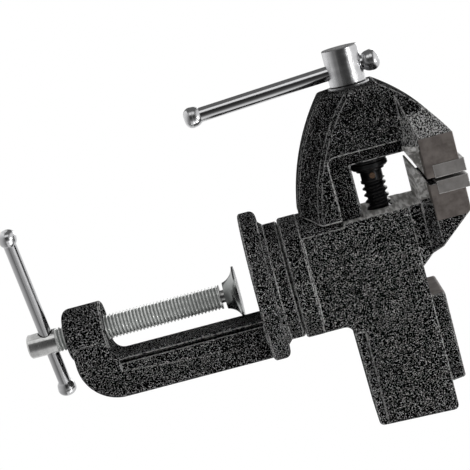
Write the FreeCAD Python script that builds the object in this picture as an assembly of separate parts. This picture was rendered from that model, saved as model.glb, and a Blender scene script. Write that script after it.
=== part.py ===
import FreeCAD, Part
import math
import os
from FreeCAD import Vector

# Clamp-on swivel bench vise, 60 mm jaws.  Millimetres.
# Z = 0 is the underside of the clamp's table plate, on the swivel axis.
# +Z is up, +X points to the anvil, -X points to the lead screw's hub.

# ---- clearances --------------------------------------------------------------
running_gap = 0.3            # between castings that slide or turn on each other
shaft_fit = 0.05             # radial, plain journals in their bores
bar_slop = 0.45              # radial, tommy bars hang loose in their cross holes
seat_fit = 0.02              # pressed or seated pieces in their pockets

over = 1.0                   # how far a cut reaches past the face it opens
edge_break = 0.8             # chamfer on turned edges

# ---- tommy bar knobs, as shares of the knob's radius ---------------------------
knob_flat = 0.70             # centre to the flat side that rests on the hub
knob_dome = 0.92             # centre to the top of the dome
knob_tip = 0.35              # radius of the small flat on the dome
bar_grip = 0.45              # how far past the centre the bar reaches

# ---- table plate, swivel step and C-frame -------------------------------------
plate_radius = 37.3
plate_thick = 8.4
plate_edge_round = 3.0
step_radius = 29.2
step_top = 17.8
step_cove = 2.4              # cone round the foot of the step
spine_inner = 14.0           # throat depth: screw axis to the spine's inner face
spine_outer = 34.3
spine_half_width = 13.0
spine_edge_round = 4.0
flange_thick = 1.2           # lip between the spine's inner face and its side groove
groove_half_width = 6.5      # half width of the web left between the two side grooves
groove_width = 2.0
groove_foot = -73.5
groove_top = -1.0
web_half_width = 11.2        # beyond the groove, from where the web slopes out to full width
web_end_low = 20.6           # end of that slope at the groove's foot
web_end_high = 26.7          # and at its top
corner_radius = 20.5         # outer corner of the C
throat_round = 6.0           # inner corners of the C
arm_bottom = -95.3
boss_radius = 13.7
boss_bottom = -96.9
boss_top = -76.5
boss_round = 4.0

# ---- clamp screw, pad and its tommy bar --------------------------------------
clamp_thread_r = 6.1
clamp_head_r = 6.0
clamp_head_bottom = -116.5
clamp_head_top = -102.3
clamp_button_r = 4.2         # turned button that the pad is crimped round
clamp_button_thick = 4.0
clamp_neck_r = 3.15          # between the thread and the button
neck_length = 2.0            # bare neck below the pad
pad_radius = 13.2
pad_face = -8.7
pad_rim = 0.9
pad_height = 7.2
pad_neck_r = 6.6
pad_waist_r = 8.8            # at mid height of the flare
pad_waist_rise = 0.9         # how far above mid height that waist lies
clamp_bar_z = -106.3
clamp_bar_r = 3.2
clamp_knob_r = 4.6
clamp_bar_near = 59.0        # knob centre to screw axis, long side
clamp_bar_far = 26.2         # knob centre to screw axis, short side
clamp_bar_turn = 14.0        # degrees about Z
clamp_bar_lean = 2.6         # degrees, hanging in the loose hole

# ---- swivel ------------------------------------------------------------------
seam = 0.3
neck_radius = 30.3
neck_top = 28.0
pivot_radius = 9.0
pivot_bolt_r = 5.0
bolt_head_r = 9.5
bolt_head_thick = 5.5
bolt_recess = 1.0
swivel_washer_r = 10.0
swivel_washer_thick = 1.6
bolt_length = 31.0
hex_key = 8.0
hex_depth = 4.0

# ---- fixed body --------------------------------------------------------------
body_half_width = 21.0
turret_radius = 30.1
turret_top = 49.1
body_front = -23.5
body_rear_wall = 26.4
tail_bottom = 40.7
tail_taper = 1.0             # how much the tail's underside rises to its end
tail_end_low = 78.7
tail_end_high = 80.3
body_top = 81.2
edge_round = 2.4
tail_root_round = 4.0        # hollow corner between the tail's underside and the turret
rail_top = 46.1              # lower rail along the tail
rail_start = 30.4
rail_inset = 0.9
anvil_front = 21.4
anvil_rear = 65.1
anvil_top = 88.0
anvil_half_width = 19.6
anvil_slope = 0.8            # how far the rear face leans out at its foot
anvil_round = 1.2
stem_half_width = 19.8

# ---- jaws --------------------------------------------------------------------
jaw_half_width = 30.0
flare_low = 87.1
head_low = 92.1
head_top = 108.6
plate_low = 95.8
plate_top = 110.9
jaw_plate_thick = 6.2
plate_proud = 0.2            # jaw plates stand out past the heads' sides
jaw_gap = 1.6
gap_centre = -34.2
nose_tip_thick = 0.8
nose_angle = 27.0            # degrees, slant of the nose and of the jaw above it
nose_gap = 1.3
gusset_rear_rise = 0.6       # how far the gusset's slant meets the head above its underside
nose_ledge = 1.0             # the head stands back this far from the plate's face
rear_head_corner = -16.5
rear_slope_foot = 6.7
rear_head_round = 3.0
head_root = 5.0              # how deep the heads' blocks reach into the castings below them
front_overhang = 0.5         # front head below its plate, behind the plate's face

# ---- moving jaw --------------------------------------------------------------
front_face = -84.3
front_inner = -49.0
front_shoulder = 80.7
head_crest = -54.4
belly_front = 53.3
belly_rear = 28.4
belly_bow = 5.2
belly_bevel = 10.0           # bevel between the belly and each side
bevel_break = 1.2            # chamfer on both edges of that bevel
front_round = 2.0
apron_radius = 32.4
apron_reach = 8.0            # how far the apron comes back along the turret
side_step = 15.2             # half width of the slide beam
side_step_x = -55.3
side_step_round = 3.5
beam_low = 44.3
beam_high = 59.2
beam_end = 77.0
beam_round = 1.0
crest_bow = 1.7              # how far the head's front crest bulges
taper_start = -76.5          # head widens from here
taper_end = -57.0

# ---- lead screw --------------------------------------------------------------
lead_z = 68.7
lead_thread_r = 6.0
lead_journal_r = 5.4
hub_radius = 8.9
hub_length = 18.3
hub_washer_r = 10.2
hub_washer_thick = 1.1
thrust_washer_r = 9.1
thrust_washer_thick = 2.2
collar_r = 9.1
collar_thick = 3.2
collar_hub_r = 6.9           # small shoulder of the collar, towards the thread
collar_hub_length = 1.2
pin_gap = 0.7                # collar shoulder to pin
pin_r = 1.4
pin_length = 13.6
lead_thread_start = -37.6
lead_end = 54.0
thread_chamfer = 1.2
lead_bar_x = -93.2
lead_bar_r = 3.6
lead_knob_r = 5.0
lead_bar_long = 76.4         # knob centre below the screw axis
lead_bar_lean = 2.9          # degrees, hanging in the loose hole
nut_length = 22.0
nut_half_width = 8.0
front_wall = 6.0
core_start = 8.0             # wider core behind the nut
core_room = 0.7              # core over the lead screw's thread
core_round = 6.0

# ---- jaw plate screws --------------------------------------------------------
plate_screw_y = 18.0
plate_screw_r = 2.5
plate_screw_head_r = 4.6
plate_screw_length = 14.0
plate_socket_r = 1.5
plate_socket_depth = 1.6

# ---- places that follow from the sizes above ---------------------------------
front_plate_back = gap_centre - jaw_gap / 2
front_plate_front = front_plate_back - jaw_plate_thick
rear_plate_front = gap_centre + jaw_gap / 2
rear_plate_back = rear_plate_front + jaw_plate_thick
core_top = lead_z + lead_thread_r + core_room
plate_mid = (plate_low + plate_top) / 2
jaw_plate_half_width = jaw_half_width + plate_proud
slant = math.tan(math.radians(nose_angle))
neck_bottom = step_top + seam
shelf_top = turret_top - running_gap
screw_room = 0.5             # radial room round the lead screw's thread
channel_r = nut_half_width + seat_fit
hub_back = front_face - hub_washer_thick
hub_front = hub_back - hub_length
collar_front = front_inner + 2 * shaft_fit + thrust_washer_thick


def line(a, b):
    return Part.makeLine(Vector(a[0], 0, a[1]), Vector(b[0], 0, b[1]))


def arc(a, b, c):
    return Part.Arc(Vector(a[0], 0, a[1]), Vector(b[0], 0, b[1]), Vector(c[0], 0, c[1])).toShape()


def slab(edges, half_width):
    """Side view outline in XZ, thickened equally to both sides in Y."""
    face = Part.Face(Part.Wire(Part.__sortEdges__(edges)))
    face.translate(Vector(0, -half_width, 0))
    return face.extrude(Vector(0, 2 * half_width, 0))


def polygon(points):
    return [line(points[i], points[(i + 1) % len(points)]) for i in range(len(points))]


def box(x, y, z):
    """Box from three (low, high) pairs."""
    return Part.makeBox(x[1] - x[0], y[1] - y[0], z[1] - z[0], Vector(x[0], y[0], z[0]))


def rod_z(radius, low, high, x=0.0, y=0.0):
    return Part.makeCylinder(radius, high - low, Vector(x, y, low), Vector(0, 0, 1))


def rod_x(radius, low, high, y=0.0, z=lead_z):
    return Part.makeCylinder(radius, high - low, Vector(low, y, z), Vector(1, 0, 0))


def edges_where(shape, test):
    return [e for e in shape.Edges if test(e)]


def mid(edge):
    return edge.valueAt((edge.FirstParameter + edge.LastParameter) / 2)


def at(value, place):
    return abs(value - place) < 0.01


def is_circle(edge):
    return len(edge.Vertexes) == 1


def rounded(shape, radius, test):
    """Fillet every edge whose midpoint passes the test."""
    return shape.makeFillet(radius, edges_where(shape, test))


def broken(shape, size, test):
    """Small chamfer on every edge whose midpoint passes the test."""
    return shape.makeChamfer(size, edges_where(shape, test))


def cross_bar(centre, direction, radius, near, far):
    """Rod through a point, reaching near and far along a direction."""
    start = centre - direction * near
    return Part.makeCylinder(radius, near + far, start, direction)


def knob(centre, inward, radius, bore):
    """Domed end of a tommy bar, flat on the side of the bar and drilled for it."""
    flat = -knob_flat * radius
    dome = knob_dome * radius
    rim_angle = math.asin(knob_flat)
    rim = radius * math.cos(rim_angle)
    low = (radius * math.cos(rim_angle / 2), -radius * math.sin(rim_angle / 2))
    high = (radius * math.sqrt(0.75), dome * math.sqrt(0.5))
    tip = knob_tip * radius
    profile = [
        line((0, dome), (0, flat)),
        line((0, dome), (tip, dome)),
        line((0, flat), (rim, flat)),
        arc((rim, flat), low, (radius, 0)),
        arc((radius, 0), high, (tip, dome)),
    ]
    solid = Part.Face(Part.Wire(Part.__sortEdges__(profile))).revolve(Vector(), Vector(0, 0, 1), 360)
    solid = solid.cut(rod_z(bore, flat - over, bar_grip * radius))
    solid.Placement = FreeCAD.Placement(centre, FreeCAD.Rotation(Vector(0, 0, -1), inward))
    return solid


# ---- C-frame -----------------------------------------------------------------

def clamp_frame():
    # C in side view: arm below the boss, outer corner, spine up into the plate
    turn = corner_radius * math.sqrt(0.5)
    corner_x = spine_outer - corner_radius
    corner_z = arm_bottom + corner_radius
    outline = [
        line((0, arm_bottom), (corner_x, arm_bottom)),
        arc((corner_x, arm_bottom), (corner_x + turn, corner_z - turn), (spine_outer, corner_z)),
        line((spine_outer, corner_z), (spine_outer, plate_thick / 2)),
        line((spine_outer, plate_thick / 2), (spine_inner, plate_thick / 2)),
        line((spine_inner, plate_thick / 2), (spine_inner, boss_top)),
        line((spine_inner, boss_top), (0, boss_top)),
        line((0, boss_top), (0, arm_bottom)),
    ]
    frame = slab(outline, spine_half_width)
    frame = rounded(frame, throat_round, lambda e: (
        at(mid(e).x, spine_inner) and at(mid(e).z, boss_top)
        and at(mid(e).y, 0)))
    frame = rounded(frame, spine_edge_round, lambda e: (
        at(abs(mid(e).y), spine_half_width)
        and (mid(e).x > corner_x or at(mid(e).z, arm_bottom))
        and mid(e).z < 0))
    frame = frame.cut(web_groove(1)).cut(web_groove(-1))

    # screw boss
    boss = rod_z(boss_radius, boss_bottom, boss_top)
    boss = rounded(boss, boss_round, lambda e: at(mid(e).z, boss_bottom))
    boss = broken(boss, edge_break, lambda e: at(mid(e).z, boss_top))

    # table plate with the swivel step on it
    plate = rod_z(plate_radius, 0, plate_thick)
    plate = rounded(plate, plate_edge_round, lambda e: at(mid(e).z, plate_thick))
    plate = broken(plate, edge_break, lambda e: at(mid(e).z, 0) and is_circle(e))
    step = rod_z(step_radius, plate_thick - over, step_top)
    step = broken(step, edge_break, lambda e: at(mid(e).z, step_top))
    cone = Part.makeCone(step_radius + step_cove, step_radius, step_cove, Vector(0, 0, plate_thick))
    frame = frame.fuse([boss, plate, step, cone]).removeSplitter()

    # swivel pivot bore, bolt head recess, and the tapped hole for the clamp screw
    frame = frame.cut(rod_z(pivot_radius + shaft_fit, 0, step_top + over))
    frame = frame.cut(rod_z(swivel_washer_r + running_gap, -over, bolt_seat()))
    frame = frame.cut(rod_z(clamp_thread_r + shaft_fit, boss_bottom - over, boss_top + over))
    return frame


def bolt_seat():
    """Height of the shoulder that the swivel bolt's washer pulls against."""
    return bolt_recess + bolt_head_thick + swivel_washer_thick


def web_groove(side):
    """Hollow in one side of the spine: a deep narrow groove, then a slope that widens upwards."""
    near = spine_inner + flange_thick
    far = near + groove_width

    def section(height, end):
        across = [(near, spine_half_width + over), (near, groove_half_width), (far, groove_half_width),
                  (far, web_half_width), (end, spine_half_width), (end, spine_half_width + over)]
        corners = [Vector(x, side * y, height) for x, y in across]
        return Part.makePolygon(corners + [corners[0]])

    return Part.makeLoft([section(groove_foot, web_end_low), section(groove_top, web_end_high)], True, True)


# ---- clamp screw -------------------------------------------------------------

def clamp_bar_direction():
    turn = math.radians(clamp_bar_turn)
    lean = math.radians(clamp_bar_lean)
    return Vector(math.cos(turn) * math.cos(lean), math.sin(turn) * math.cos(lean), math.sin(lean))


def clamp_screw():
    button_top = pad_button_top()
    neck_low = pad_face - pad_height - neck_length
    body = rod_z(clamp_thread_r, clamp_head_top, neck_low)
    neck = rod_z(clamp_neck_r, neck_low, button_top)
    button = rod_z(clamp_button_r, button_top - clamp_button_thick, button_top)
    button = broken(button, edge_break, is_circle)
    head = rod_z(clamp_head_r, clamp_head_bottom, clamp_head_top)
    head = broken(head, edge_break, lambda e: at(mid(e).z, clamp_head_bottom))
    screw = body.fuse([neck, button, head]).removeSplitter()
    reach = clamp_head_r + over
    hole = cross_bar(Vector(0, 0, clamp_bar_z), clamp_bar_direction(), clamp_bar_r + bar_slop, reach, reach)
    return screw.cut(hole)


def pad_button_top():
    return pad_face - pad_rim - running_gap


def clamp_pad():
    rim_low = pad_face - pad_rim
    foot = pad_face - pad_height
    profile = [
        line((0, pad_face), (pad_radius, pad_face)),
        line((pad_radius, pad_face), (pad_radius, rim_low)),
        arc((pad_radius, rim_low), (pad_waist_r, (rim_low + foot) / 2 + pad_waist_rise),
            (pad_neck_r, foot)),
        line((pad_neck_r, foot), (0, foot)),
        line((0, foot), (0, pad_face)),
    ]
    face = Part.Face(Part.Wire(Part.__sortEdges__(profile)))
    pad = face.revolve(Vector(0, 0, 0), Vector(0, 0, 1), 360)
    top = pad_button_top()
    socket = rod_z(clamp_button_r + shaft_fit, top - clamp_button_thick - shaft_fit, top + shaft_fit)
    throat = rod_z(clamp_neck_r + running_gap, foot - over, top)
    return pad.cut(socket).cut(throat)


def clamp_bar():
    centre = Vector(0, 0, clamp_bar_z)
    grip = clamp_knob_r * bar_grip
    return cross_bar(centre, clamp_bar_direction(), clamp_bar_r,
                     clamp_bar_near + grip - seat_fit, clamp_bar_far + grip - seat_fit)


def clamp_bar_knobs():
    centre = Vector(0, 0, clamp_bar_z)
    along = clamp_bar_direction()
    near = knob(centre - along * clamp_bar_near, along, clamp_knob_r, clamp_bar_r + seat_fit)
    far = knob(centre + along * clamp_bar_far, along * -1, clamp_knob_r, clamp_bar_r + seat_fit)
    return Part.makeCompound([near, far])


# ---- swivel ------------------------------------------------------------------

def swivel_bolt():
    head = rod_z(bolt_head_r, bolt_recess, bolt_recess + bolt_head_thick)
    head = broken(head, edge_break, lambda e: at(mid(e).z, bolt_recess))
    shank = rod_z(pivot_bolt_r, bolt_recess, bolt_recess + bolt_head_thick + bolt_length)
    bolt = head.fuse(shank).removeSplitter()
    return bolt.cut(hexagon(hex_key / 2, bolt_recess - over, bolt_recess + hex_depth))


def hexagon(inner_radius, low, high):
    corner = inner_radius / math.cos(math.radians(30))
    points = [Vector(corner * math.cos(math.radians(60 * i)), corner * math.sin(math.radians(60 * i)), low)
              for i in range(7)]
    return Part.Face(Part.makePolygon(points)).extrude(Vector(0, 0, high - low))


def swivel_washer():
    low = bolt_recess + bolt_head_thick
    washer = rod_z(swivel_washer_r, low, low + swivel_washer_thick)
    return washer.cut(rod_z(pivot_bolt_r + shaft_fit, low - over, low + swivel_washer_thick + over))


# ---- fixed body --------------------------------------------------------------

def fixed_body():
    wide = body_half_width
    outline = polygon([
        (-turret_radius, neck_top - over), (body_rear_wall, neck_top - over),
        (body_rear_wall, tail_bottom), (tail_end_low, tail_bottom + tail_taper),
        (tail_end_high, body_top), (body_front, body_top),
        (body_front, turret_top), (-turret_radius, turret_top)])
    body = slab(outline, wide)
    body = rounded(body, tail_root_round, lambda e: (
        at(mid(e).y, 0) and at(mid(e).x, body_rear_wall) and at(mid(e).z, tail_bottom)))
    body = rounded(body, edge_round, lambda e: at(mid(e).y, 0) and mid(e).x > anvil_rear)
    body = rounded(body, edge_round, lambda e: at(mid(e).z, body_top) and at(abs(mid(e).y), wide))
    # lower rails of the tail stand a little back from the side faces
    for side in (1, -1):
        ys = sorted((side * (wide - rail_inset), side * (wide + over)))
        body = body.cut(box((rail_start, tail_end_high + over), ys, (tail_bottom - over, rail_top)))
    # the turret below the jaw is round in front, where the moving jaw's apron wraps it
    front = box((-turret_radius - over, 0), (-wide - over, wide + over), (neck_top - 2 * over, turret_top))
    body = body.cut(front.cut(rod_z(turret_radius, neck_top - 2 * over, turret_top)))

    neck = rod_z(neck_radius, neck_bottom, neck_top)
    neck = broken(neck, edge_break, is_circle)
    pivot = rod_z(pivot_radius, bolt_seat() + running_gap, neck_bottom + over)
    foot = body_top - over
    anvil = slab(polygon([(anvil_front, foot), (anvil_rear + anvil_slope, foot),
                          (anvil_rear, anvil_top), (anvil_front, anvil_top)]), anvil_half_width)
    anvil = rounded(anvil, anvil_round, lambda e: mid(e).z > foot + over)
    body = body.fuse([neck, pivot, anvil, rear_head()]).removeSplitter()

    # cored channel: the slide beam's tunnel, the arch that keys the nut, and the wider core behind it
    gap = running_gap
    tunnel = box((-turret_radius - over, tail_end_high + over), (-side_step - gap, side_step + gap),
                 (beam_low - gap, beam_high + gap))
    core = box((core_start, tail_end_high + over), (-side_step - gap, side_step + gap),
               (beam_low, core_top))
    core = rounded(core, core_round, lambda e: (
        at(mid(e).z, core_top) and at(abs(mid(e).y), side_step + gap)))
    body = body.cut(tunnel).cut(core).cut(arch(channel_r, body_front + front_wall, core_start + over))
    body = body.cut(rod_x(lead_thread_r + screw_room, body_front - over, body_front + front_wall + over))
    body = body.cut(rod_z(pivot_bolt_r + shaft_fit, 0, bolt_recess + bolt_head_thick + bolt_length + over))
    body = body.cut(plate_screw_holes(rear_plate_back, 1))
    return body


def arch(half_width, start, end):
    """Channel with a round top over the lead screw, open to the beam tunnel below."""
    floor = beam_high + running_gap
    round_part = rod_x(half_width, start, end)
    square_part = box((start, end), (-half_width, half_width), (floor, lead_z))
    return round_part.fuse(square_part).removeSplitter()


def rear_head():
    ledge_front = rear_plate_front + nose_ledge
    # nose below the front jaw: flat underside, slanted top with an even gap
    nose_drop = nose_gap / math.cos(math.radians(nose_angle))
    tip_top = flare_low + nose_tip_thick
    tip_x = gusset_x(tip_top + nose_drop)
    back = body_front + head_root
    top = head_low + over
    ledge_low = gusset_z(ledge_front) - nose_drop
    nose = slab(polygon([(tip_x, flare_low), (back, flare_low), (back, top), (ledge_front, top),
                         (ledge_front, ledge_low), (tip_x, tip_top)]), body_half_width)
    foot = body_top - head_root
    stem = slab(polygon([(body_front, foot), (rear_slope_foot, foot), (rear_slope_foot, body_top),
                         (slope_x(top), top), (body_front, top)]), stem_half_width)
    block = slab(polygon([(ledge_front, head_low), (slope_x(head_low), head_low),
                          (rear_head_corner, head_top), (rear_plate_back, head_top),
                          (rear_plate_back, plate_low), (ledge_front, plate_low)]), jaw_half_width)
    block = rounded(block, rear_head_round, lambda e: (
        at(mid(e).x, rear_head_corner) and at(mid(e).z, head_top)))
    flare = flare_block(body_front, rear_slope_foot, stem_half_width)
    low = body_top
    cap = slab(polygon([(body_front - over, low), (slope_x(low), low), (slope_x(top), top),
                        (body_front - over, top)]), jaw_half_width + over)
    return nose.fuse([stem, block, flare.common(cap)]).removeSplitter()


def slope_x(z):
    """Back slope of the rear head."""
    share = (head_top - z) / (head_top - body_top)
    return rear_head_corner + share * (rear_slope_foot - rear_head_corner)


def gusset_z(x):
    """Slanted underside of the front jaw's overhang."""
    return head_low + gusset_rear_rise + (x - front_plate_back) * slant


def gusset_x(z):
    return front_plate_back + (z - head_low - gusset_rear_rise) / slant


def flare_block(start, end, narrow):
    """Where a head widens from the casting's side to the full jaw width."""
    half = [(narrow, flare_low - over), (narrow, flare_low), (jaw_half_width, head_low),
            (jaw_half_width, head_low + over)]
    corners = [Vector(start, y, z) for y, z in half] + [Vector(start, -y, z) for y, z in reversed(half)]
    return Part.Face(Part.makePolygon(corners + [corners[0]])).extrude(Vector(end - start, 0, 0))


def plate_screw_holes(seat_x, side):
    """Tapped holes behind a jaw plate; side is +1 for the rear jaw, -1 for the front."""
    depth = plate_screw_length - jaw_plate_thick + over
    ends = sorted((seat_x - side * over, seat_x + side * depth))
    holes = [rod_x(plate_screw_r + shaft_fit, ends[0], ends[1], y, plate_mid)
             for y in (-plate_screw_y, plate_screw_y)]
    return Part.makeCompound(holes)


# ---- jaw plates and their screws ---------------------------------------------

def jaw_plate(front, back, face_side):
    plate = box((front, back), (-jaw_plate_half_width, jaw_plate_half_width), (plate_low, plate_top))
    face = front if face_side < 0 else back
    for y in (-plate_screw_y, plate_screw_y):
        plate = plate.cut(rod_x(plate_screw_r + shaft_fit, front - over, back + over, y, plate_mid))
        plate = plate.cut(countersink(face, face_side, y, shaft_fit))
    return plate


def countersink(face, face_side, y, extra):
    """Cone of a flat screw head, wide end flush with the plate's face."""
    depth = plate_screw_head_r - plate_screw_r
    big = plate_screw_head_r + extra
    direction = Vector(-face_side, 0, 0)
    return Part.makeCone(big, plate_screw_r + extra, depth, Vector(face, y, plate_mid), direction)


def plate_screws(face, face_side):
    screws = []
    inwards = Vector(-face_side, 0, 0)
    for y in (-plate_screw_y, plate_screw_y):
        centre = Vector(face, y, plate_mid)
        shank = Part.makeCylinder(plate_screw_r, plate_screw_length, centre, inwards)
        screw = shank.fuse(countersink(face, face_side, y, 0)).removeSplitter()
        screws.append(screw.cut(Part.makeCylinder(plate_socket_r, plate_socket_depth, centre, inwards)))
    return Part.makeCompound(screws)


# ---- moving jaw --------------------------------------------------------------

def moving_jaw():
    wide = body_half_width
    rear = apron_reach - apron_radius
    middle = ((front_face + rear) / 2, (belly_front + belly_rear) / 2 - belly_bow)
    # casting up to the flare: front face, belly, apron and the wall behind the hub
    outline = [
        line((front_face, head_low), (front_face, belly_front)),
        arc((front_face, belly_front), middle, (rear, belly_rear)),
        line((rear, belly_rear), (rear, shelf_top)),
        line((rear, shelf_top), (front_inner, shelf_top)),
        line((front_inner, shelf_top), (front_inner, head_low)),
        line((front_inner, head_low), (front_face, head_low)),
    ]
    jaw = slab(outline, wide)
    jaw = broken(jaw, belly_bevel, lambda e: at(abs(mid(e).y), wide) and is_belly(e))
    jaw = broken(jaw, bevel_break, lambda e: abs(mid(e).y) > over and is_belly(e))
    jaw = rounded(jaw, front_round, lambda e: at(mid(e).x, front_face) and mid(e).z < head_low - over)
    # sides step in beside the window, down to the beam's width
    for side in (1, -1):
        ys = sorted((side * side_step, side * (wide + over)))
        step = box((side_step_x, front_inner + apron_radius), ys, (shelf_top, flare_low))
        step = rounded(step, side_step_round, lambda e: (
            at(mid(e).x, side_step_x) and at(mid(e).z, shelf_top)))
        jaw = jaw.cut(step)
    jaw = jaw.fuse([front_head(), gusset()]).removeSplitter()

    # trim to the crest line seen from the side
    crest_mid = ((front_face + head_crest) / 2 - crest_bow, (front_shoulder + head_top) / 2 + crest_bow)
    keep = slab([
        line((front_face - over, 0), (front_face - over, front_shoulder)),
        line((front_face - over, front_shoulder), (front_face, front_shoulder)),
        arc((front_face, front_shoulder), crest_mid, (head_crest, head_top)),
        line((head_crest, head_top), (0, head_top)),
        line((0, head_top), (0, 0)),
        line((0, 0), (front_face - over, 0)),
    ], jaw_half_width + over)
    jaw = jaw.common(keep)

    jaw = jaw.cut(rod_z(apron_radius, 0, turret_top))
    beam = box((front_inner - over, beam_end), (-side_step, side_step), (beam_low, beam_high))
    beam = rounded(beam, beam_round, lambda e: at(mid(e).x, (front_inner - over + beam_end) / 2))
    jaw = jaw.fuse(beam).removeSplitter()
    jaw = jaw.cut(rod_x(lead_journal_r + shaft_fit, front_face - over, front_inner + over))
    return jaw.cut(plate_screw_holes(front_plate_front, -1))


def is_belly(edge):
    """One of the long edges that follow the belly from the front face to the apron."""
    belly_length = apron_reach - apron_radius - front_face
    return edge.BoundBox.XLength > belly_length / 2 and mid(edge).z < shelf_top


def front_head():
    wide = jaw_half_width
    rear = front_plate_back - front_overhang
    block = slab(polygon([(front_face, head_low), (rear, head_low), (rear, plate_low),
                          (front_plate_front, plate_low), (front_plate_front, head_top),
                          (front_face, head_top)]), wide)
    flare = flare_block(front_face, front_inner, body_half_width)
    head = block.fuse(flare).removeSplitter()
    # in plan the head narrows to the casting's width at the front
    half = [(front_face - over, body_half_width), (taper_start, body_half_width),
            (taper_end, wide), (0, wide)]
    corners = [Vector(x, y, 0) for x, y in half] + [Vector(x, -y, 0) for x, y in reversed(half)]
    plan = Part.Face(Part.makePolygon(corners + [corners[0]])).extrude(Vector(0, 0, head_top + over))
    return head.common(plan)


def gusset():
    """Web under the front jaw's overhang."""
    rear = front_plate_back - front_overhang
    front = front_inner - over
    top = head_low + over
    return slab(polygon([(front, gusset_z(front_inner)), (front_inner, gusset_z(front_inner)),
                         (rear, gusset_z(rear)), (rear, top), (front, top)]), body_half_width)


# ---- lead screw --------------------------------------------------------------

def lead_bar_direction():
    lean = math.radians(lead_bar_lean)
    return Vector(math.sin(-lean), 0, math.cos(lean))


def lead_bar_centre():
    return Vector(lead_bar_x, 0, lead_z)


def lead_screw():
    hub = rod_x(hub_radius, hub_front, hub_back)
    hub = broken(hub, edge_break / 2, is_circle)
    journal = rod_x(lead_journal_r, hub_back - over, lead_thread_start)
    thread = rod_x(lead_thread_r, lead_thread_start, lead_end)
    thread = broken(thread, thread_chamfer, lambda e: at(mid(e).x, lead_end))
    screw = hub.fuse([journal, thread]).removeSplitter()
    reach = hub_radius + over
    hole = cross_bar(lead_bar_centre(), lead_bar_direction(), lead_bar_r + bar_slop, reach, reach)
    return screw.cut(hole).cut(retaining_pin(shaft_fit))


def ring(radius, start, thick, bore):
    return rod_x(radius, start, start + thick).cut(rod_x(bore, start - over, start + thick + over))


def hub_washer():
    return ring(hub_washer_r, hub_back, hub_washer_thick, lead_journal_r + shaft_fit)


def thrust_washer():
    return ring(thrust_washer_r, front_inner + shaft_fit, thrust_washer_thick, lead_journal_r + shaft_fit)


def retaining_collar():
    hub_end = collar_front + collar_thick + collar_hub_length
    flange = rod_x(collar_r, collar_front, collar_front + collar_thick)
    flange = broken(flange, edge_break, is_circle)
    collar = flange.fuse(rod_x(collar_hub_r, collar_front, hub_end)).removeSplitter()
    return collar.cut(rod_x(lead_journal_r + seat_fit, collar_front - over, hub_end + over))


def retaining_pin(extra=0.0):
    pin_x = collar_front + collar_thick + collar_hub_length + pin_gap + pin_r
    start = Vector(pin_x, -pin_length / 2, lead_z)
    return Part.makeCylinder(pin_r + extra, pin_length, start, Vector(0, 1, 0))


def lead_bar():
    grip = lead_knob_r * bar_grip
    return cross_bar(lead_bar_centre(), lead_bar_direction(), lead_bar_r,
                     lead_bar_long + grip - seat_fit, lead_bar_short() + grip - seat_fit)


def lead_bar_short():
    """The upper knob rests on the hub."""
    return hub_radius + knob_flat * lead_knob_r + running_gap


def lead_bar_knobs():
    along = lead_bar_direction()
    centre = lead_bar_centre()
    low = knob(centre - along * lead_bar_long, along, lead_knob_r, lead_bar_r + seat_fit)
    high = knob(centre + along * lead_bar_short(), along * -1, lead_knob_r, lead_bar_r + seat_fit)
    return Part.makeCompound([low, high])


def lead_nut():
    start = body_front + front_wall
    nut = arch(nut_half_width, start, start + nut_length)
    return nut.cut(rod_x(lead_thread_r + shaft_fit, start - over, start + nut_length + over))


nodes = {
    "clamp_frame": clamp_frame(),
    "clamp_screw": clamp_screw(),
    "clamp_pad": clamp_pad(),
    "clamp_bar": clamp_bar(),
    "clamp_bar_knobs": clamp_bar_knobs(),
    "swivel_bolt": swivel_bolt(),
    "swivel_washer": swivel_washer(),
    "fixed_body": fixed_body(),
    "rear_jaw_plate": jaw_plate(rear_plate_front, rear_plate_back, -1),
    "rear_plate_screws": plate_screws(rear_plate_front, -1),
    "moving_jaw": moving_jaw(),
    "front_jaw_plate": jaw_plate(front_plate_front, front_plate_back, 1),
    "front_plate_screws": plate_screws(front_plate_back, 1),
    "lead_screw": lead_screw(),
    "hub_washer": hub_washer(),
    "thrust_washer": thrust_washer(),
    "retaining_collar": retaining_collar(),
    "retaining_pin": retaining_pin(),
    "lead_bar": lead_bar(),
    "lead_bar_knobs": lead_bar_knobs(),
    "lead_nut": lead_nut(),
}

os.makedirs("parts", exist_ok=True)
for name, shape in nodes.items():
    shape.exportStep("parts/" + name + ".step")
    print(name, len(shape.Solids), "solids", round(shape.Volume / 1000, 2), "cm3", shape.isValid())
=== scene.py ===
import math

import bmesh
import bpy
from mathutils import Matrix, Vector


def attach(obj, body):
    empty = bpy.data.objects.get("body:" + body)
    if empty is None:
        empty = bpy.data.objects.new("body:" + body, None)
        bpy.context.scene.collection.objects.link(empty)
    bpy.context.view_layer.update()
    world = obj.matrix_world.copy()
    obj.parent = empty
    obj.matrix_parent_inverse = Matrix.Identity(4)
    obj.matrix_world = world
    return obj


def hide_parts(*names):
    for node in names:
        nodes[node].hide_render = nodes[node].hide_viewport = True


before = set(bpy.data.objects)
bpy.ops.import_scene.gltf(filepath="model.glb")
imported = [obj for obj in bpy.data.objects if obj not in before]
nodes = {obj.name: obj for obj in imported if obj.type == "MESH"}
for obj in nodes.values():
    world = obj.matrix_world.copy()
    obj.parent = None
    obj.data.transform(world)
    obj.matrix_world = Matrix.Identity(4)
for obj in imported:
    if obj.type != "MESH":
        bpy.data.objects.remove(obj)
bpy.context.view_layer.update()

# ---- sizes shared with the solids, in metres ------------------------------------
SCREW_AXIS_Z = 0.0687
LEAD_THREAD_R = 0.0060
LEAD_PITCH = 0.0032
LEAD_THREAD_DEPTH = 0.00135
LEAD_THREAD_START = -0.0376
LEAD_THREAD_END = 0.0530
HUB_INNER_END = -0.0860  # where the bright hub ends and the black screw begins
CLAMP_THREAD_R = 0.0061
CLAMP_PITCH = 0.00175
CLAMP_THREAD_DEPTH = 0.0010
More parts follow.
